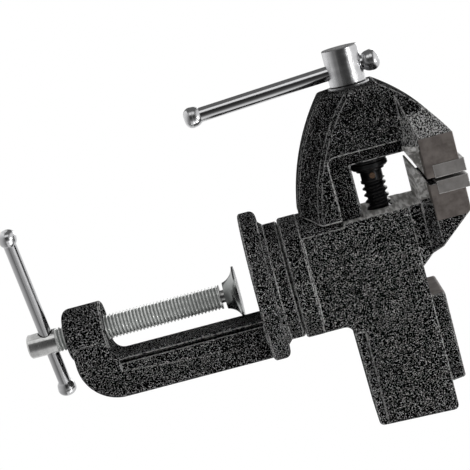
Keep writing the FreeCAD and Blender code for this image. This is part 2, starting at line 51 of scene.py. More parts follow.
CLAMP_THREAD_START = -0.1022
CLAMP_THREAD_END = -0.0180
THREAD_LAP = 0.0001      # how far the screws' plain stretches reach into their threads
LEAD_END_LAP = 0.0003
CLAMP_END_LAP = 0.0002
SHARP_ANGLE = math.radians(32)

# ---- floor, lamps and camera -------------------------------------------------------
FLOOR_Z = -0.1790  # below the reach of the clamp screw when it is turned right out
FLOOR_REACH = 0.38
LAMP_TARGET = Vector((0.0, 0.0, 0.02))
CAMERA_PLACE = (-0.16694432, -0.78721151, 0.02887482)
CAMERA_LENS_MM = 125.0
CAMERA_SENSOR_MM = 36.0


# ---- small helpers for node trees -------------------------------------------------

def add(tree, kind, inputs=None, **settings):
    """A node with its settings, and constants or links on its named or numbered inputs."""
    node = tree.nodes.new(kind)
    for key, value in settings.items():
        setattr(node, key, value)
    for key, value in (inputs or {}).items():
        feed(tree, node.inputs[key], value)
    return node


def feed(tree, socket, value):
    if isinstance(value, bpy.types.NodeSocket):
        tree.links.new(value, socket)
    else:
        socket.default_value = value


def sums(tree, operation, *values, kind="ShaderNodeMath"):
    node = add(tree, kind, operation=operation)
    for socket, value in zip(node.inputs, values):
        feed(tree, socket, value)
    return node.outputs[0]


def ramp(tree, value, low, high, to_low=0.0, to_high=1.0):
    """Smooth step from to_low to to_high as value goes from low to high."""
    node = add(tree, "ShaderNodeMapRange", interpolation_type="SMOOTHSTEP")
    for name, v in (("Value", value), ("From Min", low), ("From Max", high),
                    ("To Min", to_low), ("To Max", to_high)):
        feed(tree, node.inputs[name], v)
    return node.outputs["Result"]


def new_group(name, inputs, outputs, kind="ShaderNodeTree"):
    """A node group with named inputs and outputs; returns the tree and its two end nodes."""
    tree = bpy.data.node_groups.new(name, kind)
    for label, socket_type, default in inputs:
        socket = tree.interface.new_socket(label, in_out="INPUT", socket_type=socket_type)
        if default is not None:
            socket.default_value = default
    for label, socket_type in outputs:
        tree.interface.new_socket(label, in_out="OUTPUT", socket_type=socket_type)
    return tree, tree.nodes.new("NodeGroupInput").outputs, tree.nodes.new("NodeGroupOutput").inputs


def use(tree, group, **inputs):
    """A placed node group with its own values; underscores in the keywords stand for spaces."""
    node = tree.nodes.new("ShaderNodeGroup")
    node.node_tree = group
    for key, value in inputs.items():
        feed(tree, node.inputs[key.replace("_", " ")], value)
    return node.outputs


# ---- colours and grain of the finishes --------------------------------------------------
PAINT_DARK = (0.0015, 0.0015, 0.0016, 1.0)
PAINT_FLECK = (0.90, 0.90, 0.902, 1.0)
# lighter paint along the edges: worn paint and a painted edge highlight
WORN_PAINT_AND_EDGE_HIGHLIGHT = (0.70, 0.70, 0.69, 1.0)
# near-white bare iron: bare metal with a painted reflection of the white backdrop
BARE_IRON_AND_PAINTED_REFLECTION = (0.88, 0.87, 0.855, 1.0)
DULL_IRON = (0.40, 0.39, 0.375, 1.0)
MACHINED_DARK = (0.105, 0.091, 0.084, 1.0)
MACHINED_LIGHT = (0.26, 0.232, 0.216, 1.0)
PLATE_DARK = (0.20, 0.188, 0.180, 1.0)
PLATE_LIGHT = (0.36, 0.345, 0.335, 1.0)
PLATE_WORN = (0.62, 0.61, 0.60, 1.0)
OXIDE_DARK = (0.008, 0.008, 0.009, 1.0)
OXIDE_LIGHT = (0.03, 0.031, 0.034, 1.0)
OXIDE_WORN = (0.22, 0.21, 0.20, 1.0)
ZINC_GROOVE_PAINTED_SHADE = (0.42, 0.44, 0.425, 1.0)
ZINC_CREST = (0.97, 0.98, 0.965, 1.0)
FLECK_SIZE = 0.00037
FLECK_COVERAGE = 0.175
FLECK_SOFTNESS = 0.006
NO_FLECKS_EDGE = 0.70        # level of the grain that no coverage leaves above it
CAST_EDGE = 0.0008           # rounding that the castings' edges have in the shading
PLATE_EDGE = 0.0004          # and the jaw plates' edges
PAINT_LINE_RAGGED = 0.0002   # how far the line between paint and bare metal wanders
PAINTED_HIGHLIGHT_RAGGED = 0.018
ALONG_X = (1.0, 0.0, 0.0)
ALONG_Y = (0.0, 1.0, 0.0)
ALONG_Z = (0.0, 0.0, 1.0)


# ---- shared effects: shader node groups ---------------------------------------------

def hammered_flecks_group():
    """Light flecks of hammered enamel that run together like short worms."""
    tree, given, out = new_group(
        "Hammered flecks",
        [("Fleck Size", "NodeSocketFloat", 0.0017), ("Coverage", "NodeSocketFloat", 0.45),
         ("Softness", "NodeSocketFloat", 0.05)],
        [("Flecks", "NodeSocketFloat"), ("Height", "NodeSocketFloat")])
    place = add(tree, "ShaderNodeTexCoord").outputs["Object"]
    scale = sums(tree, "DIVIDE", 1.0, given["Fleck Size"])
    point = add(tree, "ShaderNodeVectorMath", operation="SCALE")
    feed(tree, point.inputs[0], place)
    feed(tree, point.inputs["Scale"], scale)
    warp = add(tree, "ShaderNodeTexNoise",
               {"Vector": point.outputs[0], "Scale": 0.8, "Detail": 1.0})
    centred = sums(tree, "SUBTRACT", warp.outputs["Color"], (0.5, 0.5, 0.5),
                   kind="ShaderNodeVectorMath")
    bent = add(tree, "ShaderNodeVectorMath", operation="MULTIPLY_ADD")
    feed(tree, bent.inputs[0], centred)
    feed(tree, bent.inputs[1], (0.9, 0.9, 0.9))
    feed(tree, bent.inputs[2], point.outputs[0])
    grain = add(tree, "ShaderNodeTexNoise",
                {"Vector": bent.outputs[0], "Scale": 1.0, "Detail": 0.6, "Roughness": 0.5})
    edge = sums(tree, "SUBTRACT", NO_FLECKS_EDGE, sums(tree, "MULTIPLY", given["Coverage"], 0.28))
    low = sums(tree, "SUBTRACT", edge, given["Softness"])
    high = sums(tree, "ADD", edge, given["Softness"])
    feed(tree, out["Flecks"], ramp(tree, grain.outputs["Fac"], low, high))
    feed(tree, out["Height"], grain.outputs["Fac"])
    return tree


def edge_wear_group():
    """Mask that is 1 along convex and concave edges of a casting and 0 on its faces."""
    tree, given, out = new_group(
        "Edge wear",
        [("Radius", "NodeSocketFloat", 0.0008), ("Patchiness", "NodeSocketFloat", 0.5)],
        [("Wear", "NodeSocketFloat")])
    bevel = add(tree, "ShaderNodeBevel", {"Radius": given["Radius"]}, samples=4)
    surface = add(tree, "ShaderNodeNewGeometry")
    same = add(tree, "ShaderNodeVectorMath", operation="DOT_PRODUCT")
    feed(tree, same.inputs[0], bevel.outputs["Normal"])
    feed(tree, same.inputs[1], surface.outputs["Normal"])
    turned = sums(tree, "ARCCOSINE", sums(tree, "MINIMUM", same.outputs["Value"], 1.0))
    place = add(tree, "ShaderNodeTexCoord").outputs["Object"]
    spots = add(tree, "ShaderNodeTexNoise", {"Vector": place, "Scale": 800.0, "Detail": 2.0})
    worn = sums(tree, "MULTIPLY", given["Patchiness"], 0.8)
    keep = ramp(tree, spots.outputs["Fac"], worn, sums(tree, "ADD", worn, 0.16))
    feed(tree, out["Wear"], sums(tree, "MULTIPLY", ramp(tree, turned, 0.10, 0.30), keep))
    return tree


def turned_lines_group():
    """Fine rings left by the lathe, along an axis given as a unit vector."""
    tree, given, out = new_group(
        "Turned lines",
        [("Axis", "NodeSocketVector", (0.0, 0.0, 1.0)), ("Spacing", "NodeSocketFloat", 0.0004)],
        [("Height", "NodeSocketFloat"), ("Tone", "NodeSocketFloat")])
    place = add(tree, "ShaderNodeTexCoord").outputs["Object"]
    along = add(tree, "ShaderNodeVectorMath", operation="DOT_PRODUCT")
    feed(tree, along.inputs[0], place)
    feed(tree, along.inputs[1], given["Axis"])
    count = sums(tree, "DIVIDE", along.outputs["Value"], given["Spacing"])
    fine = add(tree, "ShaderNodeTexNoise", {"W": count, "Scale": 1.0, "Detail": 2.0},
               noise_dimensions="1D")
    broad = add(tree, "ShaderNodeTexNoise", {"W": count, "Scale": 0.12, "Detail": 1.0},
                noise_dimensions="1D")
    feed(tree, out["Height"], fine.outputs["Fac"])
    feed(tree, out["Tone"], broad.outputs["Fac"])
    return tree


def ground_lines_group():
    """Straight scratches of a surface grinder, long along one direction."""
    tree, given, out = new_group(
        "Ground lines",
        [("Squash", "NodeSocketVector", (40.0, 1400.0, 1400.0))],
        [("Height", "NodeSocketFloat"), ("Tone", "NodeSocketFloat")])
    place = add(tree, "ShaderNodeTexCoord").outputs["Object"]
    point = sums(tree, "MULTIPLY", place, given["Squash"], kind="ShaderNodeVectorMath")
    fine = add(tree, "ShaderNodeTexNoise", {"Vector": point, "Scale": 1.0, "Detail": 3.0})
    broad = add(tree, "ShaderNodeTexNoise", {"Vector": point, "Scale": 0.25, "Detail": 2.0})
    feed(tree, out["Height"], fine.outputs["Fac"])
    feed(tree, out["Tone"], broad.outputs["Fac"])
    return tree


def handling_group():
    """Slow change of gloss and tone from handling, oil and dust."""
    tree, given, out = new_group(
        "Handling marks",
        [("Patch Size", "NodeSocketFloat", 0.012), ("Low", "NodeSocketFloat", 0.3),
         ("High", "NodeSocketFloat", 0.5)],
        [("Value", "NodeSocketFloat")])
    place = add(tree, "ShaderNodeTexCoord").outputs["Object"]
    scale = sums(tree, "DIVIDE", 1.0, given["Patch Size"])
    cloud = add(tree, "ShaderNodeTexNoise",
                {"Vector": place, "Scale": scale, "Detail": 4.0, "Roughness": 0.6})
    feed(tree, out["Value"],
         ramp(tree, cloud.outputs["Fac"], 0.32, 0.68, given["Low"], given["High"]))
    return tree


def ground_patch_group():
    """Mask of a box-shaped stretch where the casting is machined bare, with a ragged paint line."""
    tree, given, out = new_group(
        "Machined patch",
        [("Low", "NodeSocketVector", (0.0, 0.0, 0.0)),
         ("High", "NodeSocketVector", (0.0, 0.0, 0.0)),
         ("Ragged", "NodeSocketFloat", PAINT_LINE_RAGGED), ("Side Faces", "NodeSocketFloat", 1.0)],
        [("Bare", "NodeSocketFloat")])
    place = add(tree, "ShaderNodeTexCoord").outputs["Object"]
    noise = add(tree, "ShaderNodeTexNoise", {"Vector": place, "Scale": 900.0, "Detail": 2.0})
    wander = sums(tree, "SUBTRACT", noise.outputs["Fac"], 0.5)
    shift = sums(tree, "MULTIPLY", wander, given["Ragged"])
    parts = [add(tree, "ShaderNodeSeparateXYZ", {0: corner}).outputs
             for corner in (place, given["Low"], given["High"])]
    surface = add(tree, "ShaderNodeNewGeometry").outputs
    facing = add(tree, "ShaderNodeSeparateXYZ", {0: surface["True Normal"]}).outputs
    other = sums(tree, "LESS_THAN", sums(tree, "ABSOLUTE", facing["Y"]), 0.5)
    mask = sums(tree, "MAXIMUM", other, given["Side Faces"])
    for axis in "XYZ":
        value = sums(tree, "ADD", parts[0][axis], shift)
        above = sums(tree, "GREATER_THAN", value, parts[1][axis])
        below = sums(tree, "LESS_THAN", value, parts[2][axis])
        mask = sums(tree, "MULTIPLY", mask, sums(tree, "MULTIPLY", above, below))
    feed(tree, out["Bare"], mask)
    return tree


def thread_depth_group():
    """Mask from 0 at the root of a thread to 1 on its crest, by the distance from the axis."""
    tree, given, out = new_group(
        "Thread depth",
        [("Centre", "NodeSocketVector", (0.0, 0.0, 0.0)),
         ("Axis", "NodeSocketVector", (0.0, 0.0, 1.0)),
         ("Root", "NodeSocketFloat", 0.005), ("Crest", "NodeSocketFloat", 0.006)],
        [("Crest Share", "NodeSocketFloat")])
    place = add(tree, "ShaderNodeTexCoord").outputs["Object"]
    arm = sums(tree, "SUBTRACT", place, given["Centre"], kind="ShaderNodeVectorMath")
    along = add(tree, "ShaderNodeVectorMath", {0: arm, 1: given["Axis"]}, operation="DOT_PRODUCT")
    line = add(tree, "ShaderNodeVectorMath", {0: given["Axis"], "Scale": along.outputs["Value"]},
               operation="SCALE")
    out_of_axis = sums(tree, "SUBTRACT", arm, line.outputs[0], kind="ShaderNodeVectorMath")
    reach = add(tree, "ShaderNodeVectorMath", {0: out_of_axis}, operation="LENGTH")
    feed(tree, out["Crest Share"],
         ramp(tree, reach.outputs["Value"], given["Root"], given["Crest"]))
    return tree


FLECKS = hammered_flecks_group()
WEAR = edge_wear_group()
TURNED = turned_lines_group()
GROUND = ground_lines_group()
HANDLING = handling_group()
PATCH = ground_patch_group()
GROOVE = thread_depth_group()


# ---- finishes -----------------------------------------------------------------------

def new_material(name, **constants):
    """A material with its shader; constants go straight on the shader's own sockets."""
    material = bpy.data.materials.new(name)
    material.use_nodes = True
    tree = material.node_tree
    shader = tree.nodes["Principled BSDF"]
    for key, value in constants.items():
        shader.inputs[key.replace("_", " ")].default_value = value
    return material, tree, shader


def mix_colour(tree, share, a, b):
    node = add(tree, "ShaderNodeMix", data_type="RGBA")
    feed(tree, node.inputs["Factor"], share)
    feed(tree, node.inputs[6], a)
    feed(tree, node.inputs[7], b)
    return node.outputs[2]


def mix_value(tree, share, a, b):
    node = add(tree, "ShaderNodeMix", data_type="FLOAT")
    feed(tree, node.inputs["Factor"], share)
    feed(tree, node.inputs["A"], a)
    feed(tree, node.inputs["B"], b)
    return node.outputs["Result"]


def bump(tree, height, distance, strength, under=None):
    node = add(tree, "ShaderNodeBump",
               {"Height": height, "Strength": strength, "Distance": distance})
    if under is not None:
        feed(tree, node.inputs["Normal"], under)
    return node.outputs["Normal"]


def bare_mask(tree, boxes, ragged=PAINT_LINE_RAGGED):
    """Where the casting is bare: (low, high) boxes; a third value of 0 keeps the sides painted."""
    bare = 0.0
    for low, high, *side_faces in boxes:
        bare_sides = float(side_faces[0]) if side_faces else 1.0
        one = use(tree, PATCH, Low=low, High=high, Ragged=ragged, Side_Faces=bare_sides)["Bare"]
        bare = sums(tree, "MAXIMUM", bare, one)
    return bare


def hammered_paint(name, light=1.0, patches=(), bright=(), painted_highlights=()):
    """Black enamel with light grey flecks over cast iron.

    The light level scales the tone of the flecks: painted shade that makes one casting darker than
    another. The patches are boxes where it is machined bare, the bright ones boxes where it is
    ground bright and painted near white as a painted reflection, and the painted highlights are
    boxes where light streaks are painted on the paint as a highlight.
    """
    material, tree, shader = new_material(name, Coat_Roughness=0.10, Specular_IOR_Level=0.0)
    flecks = use(tree, FLECKS, Fleck_Size=FLECK_SIZE, Coverage=FLECK_COVERAGE,
                 Softness=FLECK_SOFTNESS)
    # the light level darkens this casting's flecks as painted shade; the handling marks on top are
    # random tone
    tone = use(tree, HANDLING, Patch_Size=0.02, Low=0.85 * light, High=1.1 * light)["Value"]
    fleck_share = sums(tree, "MULTIPLY", flecks["Flecks"], tone)
    colour = mix_colour(tree, fleck_share, PAINT_DARK, PAINT_FLECK)
    # the edge mask paints the casting's edges lighter: partly edge wear, partly a painted highlight
    # along the edges
    wear = use(tree, WEAR, Radius=0.0010, Patchiness=0.46)["Wear"]
    if painted_highlights:
        # light streaks on the front head's flank: a painted highlight
        highlight_streaks = ramp(tree, use(tree, GROUND, Squash=(5200.0, 5200.0, 8000.0))["Tone"], 0.49, 0.58)
        painted_highlight = sums(tree, "MULTIPLY", bare_mask(tree, painted_highlights, PAINTED_HIGHLIGHT_RAGGED), highlight_streaks)
        wear = sums(tree, "MAXIMUM", wear, painted_highlight)
    colour = mix_colour(tree, sums(tree, "MULTIPLY", wear, 0.85), colour, WORN_PAINT_AND_EDGE_HIGHLIGHT)
    gloss = use(tree, HANDLING, Patch_Size=0.009, Low=0.24, High=0.32)["Value"]
    gloss = mix_value(tree, flecks["Flecks"], gloss, 0.36)
    rounded = add(tree, "ShaderNodeBevel", {"Radius": CAST_EDGE}, samples=4).outputs["Normal"]
    place = add(tree, "ShaderNodeTexCoord").outputs["Object"]
    swell = add(tree, "ShaderNodeTexNoise", {"Vector": place, "Scale": 130.0, "Detail": 2.0})
    normal = bump(tree, swell.outputs["Fac"], 0.0005, 0.3, rounded)
    normal = bump(tree, flecks["Height"], 0.0001, 0.45, normal)
    metallic = sums(tree, "MULTIPLY", wear, 0.25)
    coat = sums(tree, "MULTIPLY", wear, 0.8)
    if patches:
        lines = use(tree, GROUND, Squash=(1500.0, 1500.0, 90.0))
        spots = use(tree, HANDLING, Patch_Size=0.004, Low=0.1, High=0.9)["Value"]
        steel = mix_colour(tree, mix_value(tree, 0.6, lines["Tone"], spots),
                           MACHINED_DARK, MACHINED_LIGHT)
        iron = ramp(tree, use(tree, GROUND, Squash=(2400.0, 260.0, 2400.0))["Tone"], 0.38, 0.62)
        # bright bare metal painted near white, a painted reflection of the white backdrop
        bare_bright_and_painted_reflection = bare_mask(tree, bright)
        steel = mix_colour(tree, bare_bright_and_painted_reflection, steel, mix_colour(tree, iron, DULL_IRON, BARE_IRON_AND_PAINTED_REFLECTION))
        bare = sums(tree, "MAXIMUM", bare_mask(tree, patches), bare_bright_and_painted_reflection)
        colour = mix_colour(tree, bare, colour, steel)
        metallic = mix_value(tree, bare, metallic, mix_value(tree, bare_bright_and_painted_reflection, 0.4, 0.05))
        coat = mix_value(tree, bare, coat, 0.0)
        gloss = mix_value(tree, bare, gloss, 0.42)
        plain = bump(tree, lines["Height"], 0.0001, 0.25, rounded)
        side = add(tree, "ShaderNodeMix", data_type="VECTOR")
        feed(tree, side.inputs["Factor"], bare)
        feed(tree, side.inputs[4], normal)
        feed(tree, side.inputs[5], plain)
        normal = side.outputs[1]
    for socket, value in (("Base Color", colour), ("Roughness", gloss), ("Metallic", metallic),
                          ("Coat Weight", coat), ("Normal", normal)):
        feed(tree, shader.inputs[socket], value)
    return material


def turned_steel(name, light, dark, rough, axis, spacing=0.0004, depth=0.00002):
    """Plated steel turned on a lathe; the rings run round the given axis."""
    material, tree, shader = new_material(name, Metallic=1.0)
    rings = use(tree, TURNED, Axis=axis, Spacing=spacing)
    cloud = use(tree, HANDLING, Patch_Size=0.006, Low=rough * 0.75, High=rough * 1.3)["Value"]
    feed(tree, shader.inputs["Base Color"], mix_colour(tree, rings["Tone"], dark, light))
    feed(tree, shader.inputs["Roughness"], cloud)
    feed(tree, shader.inputs["Normal"], bump(tree, rings["Height"], depth, 0.5))
    return material


def threaded_zinc(name):
    """Zinc-plated thread: bright worn crests over grooves painted darker as shade."""
    material, tree, shader = new_material(name, Metallic=0.38)
    crest = use(tree, GROOVE, Root=0.0052, Crest=0.0060)["Crest Share"]
    spots = use(tree, HANDLING, Patch_Size=0.003, Low=0.7, High=1.0)["Value"]
    # the grooves are painted darker: painted shade in the thread's recesses
    colour = mix_colour(tree, sums(tree, "MULTIPLY", crest, spots), ZINC_GROOVE_PAINTED_SHADE, ZINC_CREST)
    feed(tree, shader.inputs["Base Color"], colour)
    feed(tree, shader.inputs["Roughness"], mix_value(tree, crest, 0.45, 0.20))
    return material


def drawn_bar(name, light, dark, rough, squash):
    """Bright plated bar stock with faint lines along its length."""
    material, tree, shader = new_material(name, Metallic=1.0)
    lines = use(tree, GROUND, Squash=squash)
    cloud = use(tree, HANDLING, Patch_Size=0.004, Low=rough * 0.9, High=rough * 1.15)["Value"]
    feed(tree, shader.inputs["Base Color"], mix_colour(tree, lines["Tone"], dark, light))
    feed(tree, shader.inputs["Roughness"], cloud)
    feed(tree, shader.inputs["Normal"], bump(tree, lines["Height"], 0.00002, 0.4))
    return material


def ground_steel(name):
    """Jaw plate: ground, hardened tool steel with straight grinding lines."""
    material, tree, shader = new_material(name, Metallic=0.5)
    lines = use(tree, GROUND, Squash=(1600.0, 70.0, 1600.0))
    wear = use(tree, WEAR, Radius=0.0005, Patchiness=0.3)["Wear"]
    colour = mix_colour(tree, lines["Tone"], PLATE_DARK, PLATE_LIGHT)
    cloud = use(tree, HANDLING, Patch_Size=0.008, Low=0.34, High=0.5)["Value"]
    feed(tree, shader.inputs["Base Color"], mix_colour(tree, wear, colour, PLATE_WORN))
    feed(tree, shader.inputs["Roughness"], cloud)
    rounded = add(tree, "ShaderNodeBevel", {"Radius": PLATE_EDGE}, samples=4).outputs["Normal"]
    feed(tree, shader.inputs["Normal"], bump(tree, lines["Height"], 0.00008, 0.3, rounded))
    return material


def black_oxide(name, axis):
    """Oiled black oxide on a turned steel part."""
    material, tree, shader = new_material(name, Metallic=0.6, Coat_Weight=0.25,
                                          Coat_Roughness=0.2)
    rings = use(tree, TURNED, Axis=axis, Spacing=0.0005)
    wear = use(tree, WEAR, Radius=0.0004, Patchiness=0.4)["Wear"]
    colour = mix_colour(tree, rings["Tone"], OXIDE_DARK, OXIDE_LIGHT)
    worn = sums(tree, "MULTIPLY", wear, 0.5)
    cloud = use(tree, HANDLING, Patch_Size=0.005, Low=0.25, High=0.45)["Value"]
    feed(tree, shader.inputs["Base Color"], mix_colour(tree, worn, colour, OXIDE_WORN))
    feed(tree, shader.inputs["Roughness"], cloud)
    feed(tree, shader.inputs["Normal"], bump(tree, rings["Height"], 0.00004, 0.5))
    return material


# stretches of the castings without whole paint, as boxes in metres
REAR_HEAD = ((-0.0322, -0.0306, 0.0918), (-0.0150, 0.0306, 0.1200))
ANVIL_FRONT = ((0.0200, -0.0220, 0.0815), (0.0216, 0.0220, 0.0875))
ANVIL_TOP = ((0.0200, -0.0220, 0.0879), (0.0700, 0.0220, 0.0890))
# WINDOW_WALL, REAR_HEAD_UNDERSIDE, REAR_NOSE and FRONT_NOSE are ground bare and painted near white:
# bare metal with a painted reflection of the white backdrop
WINDOW_WALL = ((-0.0237, -0.0213, 0.0493), (-0.0233, 0.0213, 0.0874), 0)
REAR_HEAD_UNDERSIDE = ((-0.0500, -0.0213, 0.0869), (-0.0186, 0.0213, 0.0873), 0)
REAR_NOSE = ((-0.0500, -0.0213, 0.0872), (-0.0250, 0.0213, 0.0918))
FRONT_HEAD = ((-0.0546, -0.0306, 0.0919), (-0.0345, 0.0306, 0.1200))
FRONT_NOSE = ((-0.0515, -0.0290, 0.0850), (-0.0330, 0.0290, 0.0919))
# box of the painted highlight on the front head's flank
FRONT_FLANK_PAINTED_HIGHLIGHT = ((-0.0665, -0.0400, 0.0860), (-0.0500, 0.0400, 0.1150))

# the second number is the light level, painted shade: the moving jaw's paint is darkened most, the
# clamp's and body's a little
paint_clamp = hammered_paint("hammered_enamel_clamp", 0.90)
paint_body = hammered_paint("hammered_enamel_body", 0.93,
                            patches=[REAR_HEAD, ANVIL_FRONT, ANVIL_TOP],
                            bright=[WINDOW_WALL, REAR_HEAD_UNDERSIDE, REAR_NOSE])
paint_jaw = hammered_paint("hammered_enamel_jaw", 0.56, patches=[FRONT_HEAD],
                           bright=[FRONT_NOSE], painted_highlights=[FRONT_FLANK_PAINTED_HIGHLIGHT])
zinc = turned_steel("zinc_plate", (0.62, 0.62, 0.61, 1.0), (0.40, 0.40, 0.395, 1.0), 0.34,
                    ALONG_Z)
zinc_head = turned_steel("zinc_plate_head", (0.80, 0.80, 0.79, 1.0), (0.58, 0.58, 0.575, 1.0),
                         0.17, ALONG_Z)
zinc_pad = turned_steel("zinc_plate_pad", (0.36, 0.37, 0.365, 1.0), (0.20, 0.21, 0.205, 1.0),
                        0.24, ALONG_Z)
zinc_thread = threaded_zinc("zinc_plate_thread")
lead_stock = drawn_bar("bright_plate_lead_bar", (0.76, 0.76, 0.77, 1.0),
                       (0.56, 0.56, 0.57, 1.0), 0.15, (1500.0, 1500.0, 70.0))
clamp_stock = drawn_bar("bright_plate_clamp_bar", (0.66, 0.66, 0.67, 1.0),
                        (0.46, 0.46, 0.47, 1.0), 0.15, (70.0, 1500.0, 1500.0))
nickel_x = turned_steel("bright_plate_hub", (0.74, 0.74, 0.75, 1.0), (0.52, 0.52, 0.53, 1.0),
                        0.22, ALONG_X)
jaw_steel = ground_steel("ground_tool_steel")
oxide_x = black_oxide("black_oxide_screw", ALONG_X)
oxide_z = black_oxide("black_oxide_bolt", ALONG_Z)
copper = turned_steel("copper_pin_end", (0.78, 0.52, 0.36, 1.0), (0.60, 0.38, 0.25, 1.0), 0.3,
                      ALONG_Y)

finish_of = {
    "clamp_frame": paint_clamp, "fixed_body": paint_body, "moving_jaw": paint_jaw,
    "rear_jaw_plate": jaw_steel, "front_jaw_plate": jaw_steel,
    "rear_plate_screws": oxide_x, "front_plate_screws": oxide_x,
    "swivel_bolt": oxide_z, "swivel_washer": zinc,
    "clamp_pad": zinc_pad, "clamp_screw": zinc,
    "clamp_bar": clamp_stock, "clamp_bar_knobs": nickel_x,
    "lead_screw": oxide_x, "hub_washer": nickel_x, "thrust_washer": oxide_x,
    "retaining_collar": oxide_x, "retaining_pin": copper,
    "lead_bar": lead_stock, "lead_bar_knobs": nickel_x, "lead_nut": oxide_x,
}
for name, material in finish_of.items():
    nodes[name].data.materials.clear()
    nodes[name].data.materials.append(material)


# ---- threads: one Geometry Nodes tree for both screws ---------------------------------

def thread_tree():
    """Right-hand thread along +Z: a grid rolled into a tube whose radius follows the helix."""
    tree, given, out = new_group(
        "Screw thread",
        [("Radius", "NodeSocketFloat", 0.006), ("Depth", "NodeSocketFloat", 0.001),
         ("Pitch", "NodeSocketFloat", 0.002), ("Start", "NodeSocketFloat", 0.0),
         ("End", "NodeSocketFloat", 0.1), ("Crest", "NodeSocketFloat", 0.2),
         ("Run Out", "NodeSocketFloat", 0.002), ("Segments", "NodeSocketInt", 40),
         ("Rows", "NodeSocketInt", 400), ("Material", "NodeSocketMaterial", None)],
        [("Geometry", "NodeSocketGeometry")], kind="GeometryNodeTree")
    grid = add(tree, "GeometryNodeMeshGrid", {
        "Size X": 1.0, "Size Y": 1.0, "Vertices X": given["Segments"], "Vertices Y": given["Rows"]})
    position = add(tree, "GeometryNodeInputPosition").outputs[0]
    place = add(tree, "ShaderNodeSeparateXYZ", {0: position}).outputs
    turn = sums(tree, "ADD", place["X"], 0.5)
    share = sums(tree, "ADD", place["Y"], 0.5)
    length = sums(tree, "SUBTRACT", given["End"], given["Start"])
    height = sums(tree, "MULTIPLY_ADD", share, length, given["Start"])
    turns_up = sums(tree, "DIVIDE", height, given["Pitch"])
    phase = sums(tree, "FRACT", sums(tree, "SUBTRACT", turns_up, turn))
    ridge = sums(tree, "ABSOLUTE", sums(tree, "MULTIPLY_ADD", phase, 2.0, -1.0))
    root = sums(tree, "SUBTRACT", 1.0, given["Crest"])
    groove = add(tree, "ShaderNodeMapRange",
                 {"Value": ridge, "From Min": given["Crest"], "From Max": root})
    from_start = sums(tree, "SUBTRACT", height, given["Start"])
    from_end = sums(tree, "SUBTRACT", given["End"], height)
    nearest = sums(tree, "DIVIDE", sums(tree, "MINIMUM", from_start, from_end), given["Run Out"])
    fade = sums(tree, "MINIMUM", nearest, 1.0)
    depth = sums(tree, "MULTIPLY", groove.outputs["Result"], given["Depth"])
    cut = sums(tree, "MULTIPLY", depth, fade)
    radius = sums(tree, "SUBTRACT", given["Radius"], cut)
    angle = sums(tree, "MULTIPLY", turn, 2 * math.pi)
    moved = add(tree, "ShaderNodeCombineXYZ", {
        "X": sums(tree, "MULTIPLY", radius, sums(tree, "COSINE", angle)),
        "Y": sums(tree, "MULTIPLY", radius, sums(tree, "SINE", angle)),
        "Z": height})
    shaped = add(tree, "GeometryNodeSetPosition",
                 {"Geometry": grid.outputs["Mesh"], "Position": moved.outputs[0]})
    joined = add(tree, "GeometryNodeMergeByDistance",
                 {"Geometry": shaped.outputs[0], "Distance": 0.000002})
    smooth = add(tree, "GeometryNodeSetShadeSmooth", {"Geometry": joined.outputs[0]})
    real = add(tree, "GeometryNodeRealizeInstances", {"Geometry": smooth.outputs[0]})
    painted = add(tree, "GeometryNodeSetMaterial",
                  {"Geometry": real.outputs[0], "Material": given["Material"]})
    feed(tree, out["Geometry"], painted.outputs[0])
    return tree


def made_by(tree, name, **inputs):
    """Runs a Geometry Nodes tree with its inputs set by identifier and returns the plain mesh."""
    seed = bpy.data.objects.new(name, bpy.data.meshes.new(name))
    bpy.context.scene.collection.objects.link(seed)
    modifier = seed.modifiers.new("made", "NODES")
    modifier.node_group = tree
    for item in tree.interface.items_tree:
        key = item.name.replace(" ", "_")
        if item.in_out == "INPUT" and key in inputs:
            modifier[item.identifier] = inputs[key]
    bpy.context.view_layer.update()
    ready = seed.evaluated_get(bpy.context.evaluated_depsgraph_get())
    mesh = bpy.data.meshes.new_from_object(ready)
    mesh.name = name
    bpy.data.objects.remove(seed)
    return mesh


def cut_at(work, point, normal):
    """Removes what lies beyond the plane."""
    everything = list(work.verts) + list(work.edges) + list(work.faces)
    bmesh.ops.bisect_plane(work, geom=everything, dist=1e-7, plane_co=point, plane_no=normal,
                           clear_outer=True)


def piece_from(name, meshes, body, replaced, materials):
    """One finished piece out of several meshes; each mesh keeps the material slot of its number."""
    whole = bmesh.new()
    for number, mesh in enumerate(meshes):
        before = len(whole.faces)
        whole.from_mesh(mesh)
        whole.faces.ensure_lookup_table()
        for face in whole.faces[before:]:
            face.material_index = number
    data = bpy.data.meshes.new(name)
    whole.to_mesh(data)
    whole.free()
    for material in materials:
        data.materials.append(material)
    if "custom_normal" in data.attributes:  # the solid's normals don't fit the cut and joined mesh
        data.attributes.remove(data.attributes["custom_normal"])
    for polygon in data.polygons:
        polygon.use_smooth = True
    data.set_sharp_from_angle(angle=SHARP_ANGLE)
    thing = bpy.data.objects.new(name, data)
    bpy.context.scene.collection.objects.link(thing)
    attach(thing, body)
    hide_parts(*replaced)
    return thing


def cut_stretch(node, *planes):
    """The stretch of a turned solid behind each (point, normal) plane, as a plain mesh."""
    work = bmesh.new()
    work.from_mesh(nodes[node].data)
    bmesh.ops.remove_doubles(work, verts=work.verts, dist=1e-6)
    for point, normal in planes:
        cut_at(work, point, normal)
    data = bpy.data.meshes.new(node + "_stretch")
    work.to_mesh(data)
    work.free()
    return data


THREAD = thread_tree()

